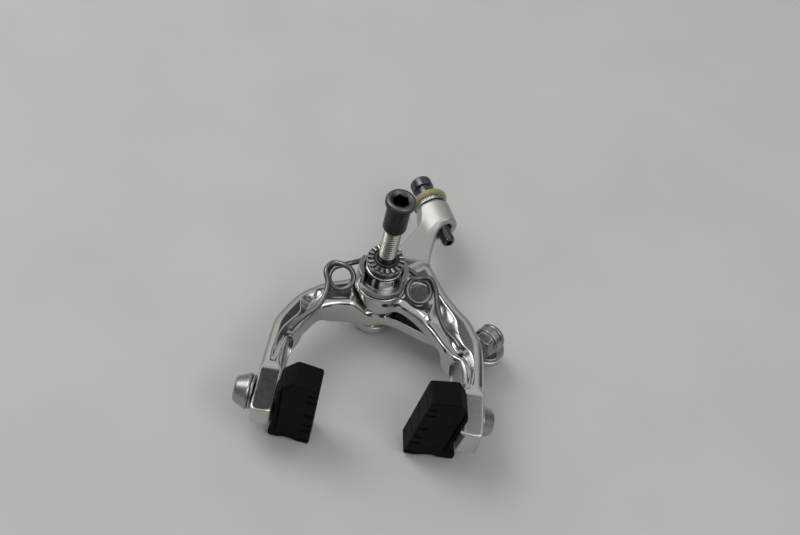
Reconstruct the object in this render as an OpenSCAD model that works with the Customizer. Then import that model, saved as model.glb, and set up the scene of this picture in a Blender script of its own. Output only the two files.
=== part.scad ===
// Single-pivot side-pull caliper brake, lying on its front.
// Frame: origin on the pivot bolt's axis, in the plane of the serrated
// washer that meets the fork crown. +Z runs along the bolt towards the
// crown, +Y goes up the brake to the barrel adjuster, +X is the cable side.
// Millimetres.

/* [Mounting] */
// Diameter of the pivot bolt's thread
bolt_d = 6; // [5:0.5:6]
// How far the bolt stands out behind the serrated washer
bolt_out = 23; // [20:1:23]
// Diameter of the sleeve nut's shank
sleeve_d = 8; // [7.6:0.1:8.2]
// Diameter of the sleeve nut's head
sleeve_head_d = 10.2; // [9.5:0.1:12]
// Height of the sleeve nut's lower end above the crown plane
sleeve_z = 15.5; // [12:0.5:17]
// Total length of the sleeve nut
sleeve_len = 14.4; // [13:0.2:18]
// Size across flats of the sleeve nut's hexagon socket
sleeve_hex = 5; // [4:0.5:5]

/* [Pivot] */
// Outer diameter of the serrated crown washer
crown_d = 13.2; // [12:0.2:14]
// Number of teeth on the crown washer
crown_teeth = 18; // [12:1:24]
// Diameter of the spring block's flange
block_d = 17.4; // [16:0.2:18]
// Outer diameter of the arms' bosses
boss_d = 18; // [17:0.5:19]
// Diameter of the bolt where the arms turn on it
bearing_d = 7; // [6.5:0.25:8]
// Running clearance on the radius in the arms' bores
run_c = 0.05; // [0.03:0.01:0.1]

/* [Arms] */
// Thickness of the front arm's leg along the bolt
front_leg_t = 8.8; // [8:0.2:9.6]
// Thickness of the rear arm's leg along the bolt
rear_leg_t = 14; // [12:0.5:15]
// Width of the slot for the shoe's stud
slot_w = 6.3; // [6.2:0.1:6.5]
// Travel of the shoe's stud in its slot
slot_travel = 4; // [2:0.5:5]

/* [Brake shoes] */
// Length of a brake block, along the rim
pad_len = 33; // [30:0.5:33]
// Height of a brake block
pad_h = 9.5; // [8:0.5:10]
// Thickness of the left block's rubber
pad_t_left = 11.8; // [9:0.2:12]
// Angle by which the right block is toed in at its front end
toe_right = 7; // [0:0.5:8]
// Thickness of the shoe's metal holder
holder_t = 1.6; // [1.4:0.1:2]
// Depth of the grooves in the braking face
groove_d = 3.4; // [1:0.2:4]
// Width of the grooves in the braking face
groove_w = 0.8; // [0.5:0.1:1.2]
// Diameter of the shoe's stud
stud_d = 6; // [5:0.5:6]

/* [Cable side] */
// Diameter of the adjuster barrel's thread
barrel_d = 5; // [4.8:0.1:5.2]
// Bore of the adjuster barrel for the cable housing
housing_bore = 5.2; // [4.8:0.1:5.4]
// Diameter of the adjuster barrel's head
knob_d = 8.2; // [7.8:0.1:9]
// Diameter of the adjuster nut
adj_nut_d = 11.8; // [11.4:0.1:12.4]
// Diameter of the anchor's clamp nut across corners
anchor_nut_d = 9.8; // [9:0.2:9.8]

/* [Return spring] */
// Diameter of the spring's wire
wire_d = 1.9; // [1.6:0.1:2]
// Mean radius of each coil
coil_r = 4.2; // [3.8:0.1:4.3]

/* [Hidden] */
$fn = 64;
e = 0.01;

// heights on the bolt
z_block1 = -12; z_block2 = -9.8; z_block3 = -4.4; z_ear = -5;
z_rear1 = -19.5; z_rear2 = -12.5;
z_front1 = -27; z_front2 = -20;
z_floor = -36.2;
z_stud = -19.7;

// angle by which each shoe's face is turned when the brake stands open
open_a = 5;
// where each stud's axis meets the leg's inner face
left_in = [-29.3, -49.6];
right_in = [31.1, -46.8];
// how far each shoe's block sits below its stud
drop_left = 0;
drop_right = 1.4;
// thickness of each leg at its stud
t_left = 7.7; t_right = 5.2;
// how far the right block is set forward of its stud
slide_right = -0.4;

// barrel adjuster's axis: a point at the cable end, and the direction to the head
adj_p = [24.5, 28, -18.5];
adj_a = 24.4;
module on_adjuster(s) {
    translate(adj_p) rotate([0, 0, adj_a]) rotate([-90, 0, 0]) translate([0, 0, s]) children();
}

// cable anchor: the swivel's place, and its clamp's direction
anch = [41.5, -10.7];
anch_z = -21;
anch_a = -38;
module on_anchor(s) {
    translate([anch[0], anch[1], anch_z]) rotate([0, 0, anch_a]) rotate([-90, 0, 0]) translate([0, 0, s]) children();
}

function hex_r(af) = af / sqrt(3);

// ---------------------------------------------------------------- pivot

module pivot_bolt() {
    color("silver") {
        // threaded end towards the crown
        translate([0, 0, -4.5]) cylinder(d = bolt_d, h = bolt_out + 3.9);
        translate([0, 0, bolt_out - 0.6]) cylinder(d1 = bolt_d, d2 = bolt_d - 1.2, h = 0.6, $fn = 64);
        // bearing length under the arms
        translate([0, 0, -28.6]) cylinder(d = bearing_d, h = 28.6 - 4.4);
        // front threaded end under the nuts
        translate([0, 0, -35]) cylinder(d = bolt_d, h = 7);
    }
}

module spring_block() {
    color("gainsboro") difference() {
        union() {
            translate([0, 0, z_block1]) cylinder(d = block_d, h = z_block2 - z_block1);
            translate([0, 0, z_block2 - e]) cylinder(d = 13.5, h = z_block3 - z_block2 + e);
            // two ears that hold the spring
            intersection() {
                translate([0, 0, z_block1]) cylinder(d = block_d, h = z_ear - z_block1);
                union() {
                    translate([-12, -4.5, z_block1]) cube([5.6, 9, 10.6]);
                    translate([6.4, -4.5, z_block1]) cube([5.6, 9, 10.6]);
                }
            }
        }
        // bore on the bolt
        translate([0, 0, z_block1 - 1]) cylinder(d = bearing_d + 0.1, h = 20);
        // groove for the spring's straight middle, turned down past each ear
        translate([-6.6, 3.6, -8.6]) cube([13.2, 6, 2.4]);
        for (m = [0, 1]) mirror([m, 0, 0]) translate([6.2, 4.7, -8.8]) rotate([0, 0, -31]) translate([-1, -1.15, 0]) cube([7, 7, 2.6]);
    }
}

module crown_washer() {
    color("darkgray") difference() {
        union() {
            translate([0, 0, -1.7]) cylinder(d = crown_d, h = 1.0);
            translate([0, 0, -4.3]) cylinder(d = 10.6, h = 3);
            // collar round the bolt and radial teeth that grip the crown
            translate([0, 0, -0.8]) cylinder(d = 7.6, h = 0.8);
            for (i = [0 : crown_teeth - 1]) rotate([0, 0, i * 360 / crown_teeth])
                translate([3.4, -0.5, -0.8]) cube([crown_d / 2 - 3.6, 1, 0.8]);
        }
        translate([0, 0, -6]) cylinder(d = bolt_d + 0.1, h = 8);
    }
}

module sleeve_nut() {
    z2 = sleeve_z + sleeve_len;
    color("dimgray") difference() {
        union() {
            translate([0, 0, sleeve_z + 1]) cylinder(d = sleeve_d, h = sleeve_len - 1.4);
            translate([0, 0, sleeve_z]) cylinder(d1 = 6.8, d2 = sleeve_d, h = 1);
            translate([0, 0, z2 - 2.9]) cylinder(d = sleeve_head_d, h = 2.2);
            translate([0, 0, z2 - 0.7]) cylinder(d1 = sleeve_head_d, d2 = sleeve_head_d - 1.4, h = 0.7);
        }
        translate([0, 0, sleeve_z - 1]) cylinder(d = bolt_d + 0.1, h = bolt_out - sleeve_z + 1.3);
        translate([0, 0, z2 - 6]) cylinder(r = hex_r(sleeve_hex), h = 7, $fn = 6);
        translate([0, 0, z2 - 0.6]) cylinder(d1 = 5.6, d2 = 6.9, h = 0.7, $fn = 64);
    }
}

module washer(z1, z2, od) {
    difference() {
        translate([0, 0, z1]) cylinder(d = od, h = z2 - z1);
        translate([0, 0, z1 - 1]) cylinder(d = bearing_d + 0.1, h = z2 - z1 + 2);
    }
}
module rear_washer() { color("goldenrod") washer(-12.45, -12.05, 15); }
module mid_washer() { color("goldenrod") washer(-19.95, -19.55, 15); }
module front_washer() { color("silver") washer(-27.85, -27.05, 14); }

module adjust_nut() {
    color("silver") difference() {
        union() {
            translate([0, 0, -31.8]) cylinder(r = hex_r(11), h = 3.2, $fn = 6);
            translate([0, 0, -28.7]) cylinder(d = 13.4, h = 0.8);
        }
        translate([0, 0, -33]) cylinder(d = bolt_d + 0.1, h = 6);
        translate([0, 0, -28.6]) cylinder(d = bearing_d + 0.1, h = 2);
    }
}

module cap_nut() {
    color("silver") difference() {
        union() {
            translate([0, 0, -34.6]) cylinder(d = 13.4, h = 2.75);
            translate([0, 0, z_floor]) cylinder(d1 = 9.6, d2 = 13.4, h = 1.6, $fn = 64);
        }
        translate([0, 0, -35.1]) cylinder(d = bolt_d + 0.1, h = 5);
        translate([0, 0, z_floor - 1]) cylinder(r = hex_r(4), h = 1.9, $fn = 6);
    }
}

// --------------------------------------------------------------- spring

// the wire is swept along a path: straight middle, one turn of coil, then the leg
coil_tilt = 32;
coil_pitch = 2.3;
c_n = [0, -sin(coil_tilt), cos(coil_tilt)];
c_u = [0, cos(coil_tilt), sin(coil_tilt)];
function turn(c, a) = c + coil_r * (cos(a) * [1, 0, 0] + sin(a) * c_u) + c_n * (coil_pitch * ((90 - a) / 360 - 0.5));
function wire(c, leg) = concat(
    [[0, 4.7, -7.4], [6, 4.7, -7.4], [8.5, 3.1, -7.6]],
    [for (i = [0 : 11]) turn(c, 75 - i * 30)],
    leg);
function tangent(p, i) = let (v = p[min(i + 1, len(p) - 1)] - p[max(i - 1, 0)]) v / norm(v);
function ring(p, i) = let (t = tangent(p, i), b0 = cross(t, c_n), b = b0 / norm(b0), n = cross(b, t))
    [for (k = [0 : 7]) p[i] + wire_d / 2 * (cos(k * 45 + 22.5) * b + sin(k * 45 + 22.5) * n)];
module sweep(p) {
    m = len(p);
    polyhedron(
        points = [for (i = [0 : m - 1]) each ring(p, i)],
        faces = concat(
            [[7, 6, 5, 4, 3, 2, 1, 0]],
            [for (i = [0 : m - 2], k = [0 : 7]) [i * 8 + k, i * 8 + (k + 1) % 8, (i + 1) * 8 + (k + 1) % 8]],
            [for (i = [0 : m - 2], k = [0 : 7]) [i * 8 + k, (i + 1) * 8 + (k + 1) % 8, (i + 1) * 8 + k]],
            [[for (k = [0 : 7]) (m - 1) * 8 + k]]),
        convexity = 8);
}
function flip(p) = [for (q = p) [-q[0], q[1], q[2]]];
function back(p) = [for (i = [len(p) - 1 : -1 : 0]) p[i]];
leg_r = [[16.4, -0.2, -6.9], [18, -2.4, -7.2], [19.2, -5.2, -8.2], [20.2, -10, -9.8], [22.1, -14.4, -11.4], [24.2, -17.8, -12.2], [27.2, -20.7, -12.3], [29.2, -23.8, -12.3]];
leg_l = [[17.2, -0.2, -6.8], [19, -2, -7], [19.5, -4.2, -7.4], [18.3, -7.8, -8.6], [18.7, -12, -10.2], [20.5, -16.2, -11.6], [24, -19.7, -12.6], [27, -23.5, -13.5], [28.4, -26, -13.8]];
module return_spring() {
    r = wire([13.2, -4.6, -9], leg_r);
    l = flip(wire([14, -4.3, -9], leg_l));
    color("gray") sweep(concat(back(l), [for (i = [1 : len(r) - 1]) r[i]]));
}

// ----------------------------------------------------------------- arms

// rear arm: right leg, seen from behind
rear_leg = [[15.5, 13], [17.8, 12.2], [21.5, 6.2], [24.6, 0.8], [29.2, -5], [33, -9.2], [35.6, -14],
            [37.4, -18.4], [38.1, -24.5], [38.4, -33], [38.5, -41], [38.5, -49], [38.3, -56.2],
            [30.6, -56.2], [30.1, -50], [29.3, -41.6], [29, -35], [28.6, -29.6], [27.4, -26.2],
            [24.2, -23.2], [20.5, -18.8], [16.6, -14.4], [12, -10.4], [7.4, -8], [0, -8.6], [0, 8.6], [9, 9]];
// rear arm: blade up to the adjuster
rear_blade = [[2, 8], [4, 15], [5.7, 19.4], [7.5, 22.6], [9.2, 25.6], [10.8, 28.7], [12.4, 32.2], [12.8, 36], [12.8, 40], [17, 42],
              [21.5, 34.5], [20.4, 32], [19.3, 29], [18.8, 26.5], [18.1, 22], [17.6, 18], [17.4, 13], [17.5, 10], [12, 2]];
// front arm: left leg, seen from behind
front_leg = [[0, 8.4], [-8, 5], [-10.5, 2.4], [-18, -0.8], [-22, -3.4], [-27.2, -8], [-31.4, -14.5],
             [-34.2, -20.6], [-34.8, -25.6], [-35.4, -31.8], [-35.9, -37], [-36.4, -45], [-37.2, -55],
             [-37.2, -58.2], [-30.1, -58], [-29.4, -50], [-28.7, -42], [-28.3, -37.6], [-27.8, -31],
             [-26.6, -26.2], [-24.8, -22], [-22.3, -17.8], [-19, -13.8], [-14, -11], [-8, -9.8], [0, -9.2]];
// front arm: the part that crosses in front to the cable anchor
front_cross = [[0, -9.1], [4, -9.2], [8, -10], [13, -12], [19, -14.4], [26, -16.4], [33, -17.2], [41, -17.2],
               [42, -4.4], [38.5, -5.2], [35, -6.4], [30, -5.6], [22, -2], [14, 3.2], [7, 7.6], [0, 9]];

module plate(z1, z2) { translate([0, 0, z1]) linear_extrude(z2 - z1) children(); }

// slot through a leg for the shoe's stud, in the shoe's own frame
module stud_slot() {
    translate([-13, 0, 0]) rotate([0, 90, 0]) {
        for (s = [-1, 1]) translate([0, s * slot_travel / 2, 0]) cylinder(d = slot_w, h = 15);
        translate([-slot_w / 2, -slot_travel / 2, 0]) cube([slot_w, slot_travel, 15]);
    }
}

module rear_arm() {
    zr = z_rear2 - 1;
    color("whitesmoke") difference() {
        union() {
            translate([0, 0, z_rear1]) cylinder(d = boss_d, h = z_rear2 - z_rear1);
            // leg: thin where the front arm crosses it, deeper below
            plate(z_rear1, zr) polygon(rear_leg);
            intersection() {
                plate(zr - rear_leg_t, z_rear1 + e) polygon(rear_leg);
                translate([20, -60, -40]) cube([30, 36.2, 40]);
            }
            // blade
            intersection() {
                plate(-21.6, -14.8) polygon(rear_blade);
                translate([0, 11.6, -40]) cube([40, 60, 40]);
            }
            plate(z_rear1, -14.8) polygon(rear_blade);
            // boss for the barrel adjuster
            on_adjuster(6.6) cylinder(d1 = 11.6, d2 = 12.2, h = 9.8, $fn = 64);
        }
        translate([0, 0, -40]) cylinder(d = bearing_d + 2 * run_c, h = 40);
        on_adjuster(0) cylinder(d = barrel_d + 0.6, h = 30);
        on_adjuster(6) cylinder(d = 6.9, h = 4);
        // room under the anchor's swivel
        translate([anch[0], anch[1], -30]) cylinder(r = 8.8, h = 14.4);
        in_right() stud_slot();
        // flat that the shoe sits against, with a round upper end
        in_right() translate([0, -12, -30]) cube([12, 23, 60]);
        in_right() translate([0, 11, 0]) rotate([0, 90, 0]) cylinder(d = 11, h = 12);
        // flat that the shoe's nut sits on
        in_right() translate([-t_right, 0, 0]) rotate([0, -90, 0]) cylinder(d = 11.8, h = 6);
        // seat that takes the spring's end
        translate([28.6, -23.6, -14.3]) cylinder(d = 3.2, h = 2);
    }
}

module front_arm() {
    zt = z_stud + front_leg_t / 2 - 0.2;
    color("whitesmoke") difference() {
        union() {
            translate([0, 0, z_front1]) cylinder(d = boss_d, h = z_front2 - z_front1);
            // leg: starts in front of the rear arm, steps back beyond its boss
            plate(z_front1, z_front2) intersection() {
                polygon(front_leg);
                translate([-30, -30]) square([30, 45]);
            }
            difference() {
                plate(zt - front_leg_t, zt) polygon(front_leg);
                translate([0, 0, z_front2]) cylinder(d = boss_d + 1.4, h = 20);
                translate([-2, -30, z_front2]) cube([20, 60, 20]);
            }
            // crossing part and its eye
            plate(-26, z_front2 - 0.4) polygon(front_cross);
            plate(-30, -26 + e) intersection() {
                polygon(front_cross);
                translate([29.5, -30]) square([20, 40]);
            }
            translate([anch[0], anch[1], -30]) cylinder(r = 6.5, h = 2.4);
        }
        translate([0, 0, -40]) cylinder(d = bearing_d + 2 * run_c, h = 40);
        translate([anch[0], anch[1], -40]) cylinder(d = 5.1, h = 40);
        translate([anch[0], anch[1], -27.6]) cylinder(r = 8.8, h = 20);
        in_left() stud_slot();
        // flats that the shoe and its nut sit against
        in_left() translate([0, -12, -30]) cube([3, 20, 60]);
        in_left() translate([-t_left, 0, 0]) rotate([0, -90, 0]) cylinder(d = 13, h = 4);
        // hollow in the back of the crossing part
        translate([0, 0, -25]) linear_extrude(8) difference() {
            polygon([[2.6, -8.4], [8, -9.2], [13, -11.2], [19, -13.6], [25, -15.4], [26, -7], [16, -1.6], [9.6, 0.4]]);
            circle(d = boss_d + 0.6);
        }
        // seat that takes the spring's end
        translate([-28.6, -24.6, -16.5]) cylinder(d = 3.2, h = 2);
    }
}

// ---------------------------------------------------------- brake shoes

// a shoe's own frame: X points from the leg's inner face to the rim,
// Y up the leg, Z back towards the crown, origin on the stud's axis
module in_left() {
    translate([left_in[0], left_in[1], z_stud]) rotate([0, 0, -open_a]) children();
}
module in_right() {
    translate([right_in[0], right_in[1], z_stud]) rotate([0, 0, open_a]) rotate([0, toe_right, 0]) mirror([1, 0, 0]) children();
}
pz1 = z_floor - z_stud;
pz2 = pz1 + pad_len;

// side view of the rubber: foot under the holder, braking face, bevelled rear end
module rubber(t, drop, foot) {
    py1 = -drop - pad_h / 2;
    difference() {
        translate([0, py1 + pad_h, 0]) rotate([90, 0, 0]) linear_extrude(pad_h)
            polygon([[0.2, pz1 + 5.2], [0.2 - foot, pz1 + 3.8], [-0.2 - foot, pz1 + 2], [0.6 - foot, pz1 + 0.5], [2.6, pz1 + 0.4], [4.8, pz1 + 1.5], [7, pz1 + 1.1], [9.4, pz1 + 0.1],
                     [holder_t + t, pz1], [holder_t + t, pz2 - 1.4], [holder_t + 3.2, pz2], [holder_t, pz2 - 4], [holder_t, pz1 + 5.2]]);
        // slanted grooves in pairs
        for (g = [[26.8, -14], [18.6, 14], [10.6, -14], [3.4, 12]])
            translate([holder_t + t + 4 - groove_d, py1 + pad_h / 2, pz1 + g[0]])
                rotate([g[1], 0, 0]) cube([8, pad_h * 2, groove_w], center = true);
        // moulded nick in each groove
        for (g = [24.4, 16.2, 8.2, 1.2])
            translate([holder_t + t + 4 - groove_d, py1 - 1, pz1 + g]) cube([8, 3, groove_w * 1.4], center = true);
    }
}
module holder(drop, slide) {
    py1 = -drop - pad_h / 2;
    translate([0, py1 + pad_h + 0.4, slide]) rotate([90, 0, 0]) linear_extrude(pad_h + 0.8)
        polygon([[0, pz1 + 7], [0.3, pz1 + 5.4], [holder_t - e, pz1 + 5.3], [holder_t - e, pz2 - 4], [1, pz2 - 5.6], [0, pz2 - 7.4]]);
    translate([-9, 0, 0]) rotate([0, 90, 0]) cylinder(d = stud_d, h = 9.1);
}
module leg_washer(t0, od) {
    translate([-t0 - 0.8, 0, 0]) rotate([0, 90, 0]) difference() {
        cylinder(d = od, h = 0.7);
        translate([0, 0, -1]) cylinder(d = stud_d + 0.1, h = 3);
    }
}
module leg_nut(t0, od) {
    translate([-t0 - 0.9, 0, 0]) rotate([0, -90, 0]) difference() {
        union() {
            cylinder(d = od, h = 1);
            translate([0, 0, 1 - e]) cylinder(d1 = od, d2 = 8, h = 4.3, $fn = 64);
        }
        translate([0, 0, -1]) cylinder(d = stud_d + 0.1, h = 4.2);
        translate([0, 0, 2.6]) cylinder(r = hex_r(4), h = 4, $fn = 6);
    }
}

module shoe_rubber_left() { color([0.08, 0.08, 0.08]) in_left() rubber(pad_t_left, drop_left, 0.6); }
module shoe_holder_left() { color([0.12, 0.12, 0.12]) in_left() holder(drop_left, 0); }
module shoe_washer_left() { color("silver") in_left() leg_washer(t_left, 11.4); }
module shoe_nut_left() { color("gray") in_left() leg_nut(t_left, 12); }
module shoe_rubber_right() { color([0.08, 0.08, 0.08]) in_right() translate([0, 0, slide_right]) rubber(pad_t_left + 1, drop_right, 3); }
module shoe_holder_right() { color([0.12, 0.12, 0.12]) in_right() holder(drop_right, slide_right); }
module shoe_washer_right() { color("silver") in_right() leg_washer(t_right, 10.8); }
module shoe_nut_right() { color("gray") in_right() leg_nut(t_right, 11.2); }

// ----------------------------------------------------------- cable side

module adjuster_barrel() {
    color("slategray") difference() {
        union() {
            on_adjuster(0.5) cylinder(d = barrel_d, h = 22);
            on_adjuster(0) cylinder(d1 = barrel_d - 1, d2 = barrel_d, h = 0.5, $fn = 64);
            // head with a waist
            on_adjuster(22) cylinder(d = 6.8, h = 8);
            on_adjuster(22.6) cylinder(d = knob_d, h = 2.6);
            on_adjuster(27) cylinder(d = knob_d, h = 3.4);
            on_adjuster(30.4) cylinder(d1 = knob_d, d2 = knob_d - 1, h = 0.6, $fn = 64);
        }
        on_adjuster(-1) cylinder(d = 2.4, h = 40);
        on_adjuster(24) cylinder(d = housing_bore, h = 9);
    }
}
module adjuster_nut() {
    color("lightgray") difference() {
        union() {
            on_adjuster(16.45) cylinder(d = 9.6, h = 1.2);
            on_adjuster(17.6) cylinder(d = adj_nut_d, h = 1.8);
            // hub that the O-ring grips
            on_adjuster(19.3) cylinder(d = 8.5, h = 2.6);
        }
        on_adjuster(14) cylinder(d = barrel_d + 0.1, h = 12);
    }
}
module adjuster_o_ring() {
    color("khaki") on_adjuster(20.75) rotate_extrude($fn = 64) translate([5.6, 0]) circle(d = 2.6, $fn = 24);
}

module anchor_body() {
    color("lightgray") {
        // foot and pin that turn in the arm's eye, with a peened end
        translate([anch[0], anch[1], -27.55]) cylinder(d = 12.2, h = 1.5);
        translate([anch[0], anch[1], -30.5]) cylinder(d = 5, h = 3.5);
        translate([anch[0], anch[1], -31]) cylinder(d = 7.4, h = 0.9);
        // head with a rounded edge, and the web that carries it
        on_anchor(0.4) cylinder(d = 9.8, h = 1.1);
        on_anchor(1.5 - e) cylinder(d1 = 9.8, d2 = 7.8, h = 1.1, $fn = 64);
        on_anchor(0.4) translate([-3, 0, 0]) cube([6, 5.6, 2]);
        // threaded stud that takes the clamp nut
        on_anchor(-6.4) cylinder(d = 4.6, h = 7.8);
    }
}
module anchor_washer() {
    color("gray") difference() {
        on_anchor(-2.6) cylinder(d = 9.9, h = 2.9);
        on_anchor(-4) cylinder(d = 4.7, h = 6);
        // groove that the cable is pinched in
        on_anchor(0.3) translate([0, -3.2, 0]) rotate([0, 90, 0]) cylinder(d = 1.3, h = 20, center = true, $fn = 24);
    }
}
module anchor_clamp_nut() {
    color("silver") difference() {
        union() {
            on_anchor(-6.8) cylinder(d = anchor_nut_d, h = 3.6, $fn = 6);
            on_anchor(-3.6) cylinder(d = anchor_nut_d - 0.2, h = 0.9);
        }
        on_anchor(-8) cylinder(d = 4.7, h = 7);
    }
}

pivot_bolt();
spring_block();
crown_washer();
sleeve_nut();
rear_washer();
mid_washer();
front_washer();
adjust_nut();
cap_nut();
return_spring();
rear_arm();
front_arm();
shoe_rubber_left();
shoe_holder_left();
shoe_washer_left();
shoe_nut_left();
shoe_rubber_right();
shoe_holder_right();
shoe_washer_right();
shoe_nut_right();
adjuster_barrel();
adjuster_nut();
adjuster_o_ring();
anchor_body();
anchor_washer();
anchor_clamp_nut();
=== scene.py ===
import bpy
import math
import numpy as np
from mathutils import Matrix, Vector


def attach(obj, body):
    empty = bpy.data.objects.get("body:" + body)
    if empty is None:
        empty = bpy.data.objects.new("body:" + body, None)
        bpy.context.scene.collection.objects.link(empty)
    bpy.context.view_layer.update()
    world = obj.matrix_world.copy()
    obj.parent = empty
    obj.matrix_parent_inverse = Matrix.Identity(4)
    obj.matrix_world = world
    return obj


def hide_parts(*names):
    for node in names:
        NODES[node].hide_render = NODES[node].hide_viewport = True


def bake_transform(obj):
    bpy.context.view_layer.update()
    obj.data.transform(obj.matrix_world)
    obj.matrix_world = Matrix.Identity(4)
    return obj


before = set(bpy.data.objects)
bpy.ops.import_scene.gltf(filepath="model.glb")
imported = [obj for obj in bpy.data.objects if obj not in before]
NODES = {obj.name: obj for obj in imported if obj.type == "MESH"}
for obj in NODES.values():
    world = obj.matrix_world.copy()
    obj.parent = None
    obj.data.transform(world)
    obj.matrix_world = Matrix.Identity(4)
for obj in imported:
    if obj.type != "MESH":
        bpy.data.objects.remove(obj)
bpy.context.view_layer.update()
MM = 0.001

# ------------------------------------------------------------------ numbers
# heights on the bolt, in mm, as the CAD has them
Z_STUD = -19.7
Z_FLOOR = -36.2
OPEN_A = 5.0
TOE = 7.0
LEFT_IN = (-29.3, -49.6)
RIGHT_IN = (31.1, -46.8)
T_LEFT, T_RIGHT = 7.7, 5.2
SLIDE_RIGHT = -0.4
ADJ_P = (24.5, 28.0, -18.5)
ADJ_A = 24.4
ANCH = (41.5, -10.7)
ANCH_Z = -21.0
ANCH_A = -38.0
SPRING_C = (0.0, -math.sin(math.radians(32)), math.cos(math.radians(32)))


# ------------------------------------------------------------- mesh helpers
def smax(a, b, k):
    h = np.maximum(k - np.abs(a - b), 0.0) / k
    return np.maximum(a, b) + h * h * k * 0.25


def smin(a, b, k):
    return -smax(-a, -b, k)


def sstep(a, b, x):
    t = np.clip((x - a) / (b - a), 0.0, 1.0)
    return t * t * (3 - 2 * t)


def smooth_loop(pts, steps=6, closed=True):
    """A smooth curve through given points (centripetal Catmull-Rom)."""
    p = np.array(pts, float)
    n = len(p)
    out = []
    rng = range(n) if closed else range(n - 1)
    for i in rng:
        if closed:
            a, b, c, d = p[(i - 1) % n], p[i], p[(i + 1) % n], p[(i + 2) % n]
        else:
            b, c = p[i], p[i + 1]
            a = p[i - 1] if i > 0 else 2 * b - c
            d = p[i + 2] if i + 2 < n else 2 * c - b
        t0 = 0.0
        t1 = t0 + np.linalg.norm(b - a) ** 0.5 + 1e-9
        t2 = t1 + np.linalg.norm(c - b) ** 0.5 + 1e-9
        t3 = t2 + np.linalg.norm(d - c) ** 0.5 + 1e-9
        for s in range(steps):
            t = t1 + (t2 - t1) * s / steps
            a1 = (t1 - t) / (t1 - t0) * a + (t - t0) / (t1 - t0) * b
            a2 = (t2 - t) / (t2 - t1) * b + (t - t1) / (t2 - t1) * c
            a3 = (t3 - t) / (t3 - t2) * c + (t - t2) / (t3 - t2) * d
            b1 = (t2 - t) / (t2 - t0) * a1 + (t - t0) / (t2 - t0) * a2
            b2 = (t3 - t) / (t3 - t1) * a2 + (t - t1) / (t3 - t1) * a3
            out.append((t2 - t) / (t2 - t1) * b1 + (t - t1) / (t2 - t1) * b2)
    if not closed:
        out.append(p[-1])
    return np.array(out)


class Outline:
    """Signed distance to a closed outline in a plane, negative inside, from a fine table."""

    def __init__(self, pts, steps=6, pad=7.0, h=0.12):
        p = smooth_loop(pts, steps) if steps > 1 else np.array(pts, float)
        self.lo = p.min(0) - pad
        hi = p.max(0) + pad
        self.h = h
        n = np.ceil((hi - self.lo) / h).astype(int) + 2
        X, Y = np.meshgrid(self.lo[0] + h * np.arange(n[0]), self.lo[1] + h * np.arange(n[1]), indexing="ij")
        best = np.full(X.shape, 1e9)
        inside = np.zeros(X.shape, bool)
        q = np.roll(p, -1, axis=0)
        for a, b in zip(p, q):
            e = b - a
            L = float(e @ e)
            if L < 1e-12:
                continue
            t = np.clip(((X - a[0]) * e[0] + (Y - a[1]) * e[1]) / L, 0, 1)
            dx = X - a[0] - t * e[0]
            dy = Y - a[1] - t * e[1]
            np.minimum(best, dx * dx + dy * dy, out=best)
            c = (a[1] > Y) != (b[1] > Y)
            if abs(e[1]) > 1e-12:
                inside ^= c & (X < e[0] * (Y - a[1]) / e[1] + a[0])
        d = np.sqrt(best)
        self.t = np.where(inside, -d, d)
        self.n = n

    def __call__(self, x, y):
        u = np.clip((x - self.lo[0]) / self.h, 0, self.n[0] - 1.001)
        v = np.clip((y - self.lo[1]) / self.h, 0, self.n[1] - 1.001)
        i = u.astype(int)
        j = v.astype(int)
        u = u - i
        v = v - j
        t = self.t
        return ((t[i, j] * (1 - u) + t[i + 1, j] * u) * (1 - v)
                + (t[i, j + 1] * (1 - u) + t[i + 1, j + 1] * u) * v)


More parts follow.
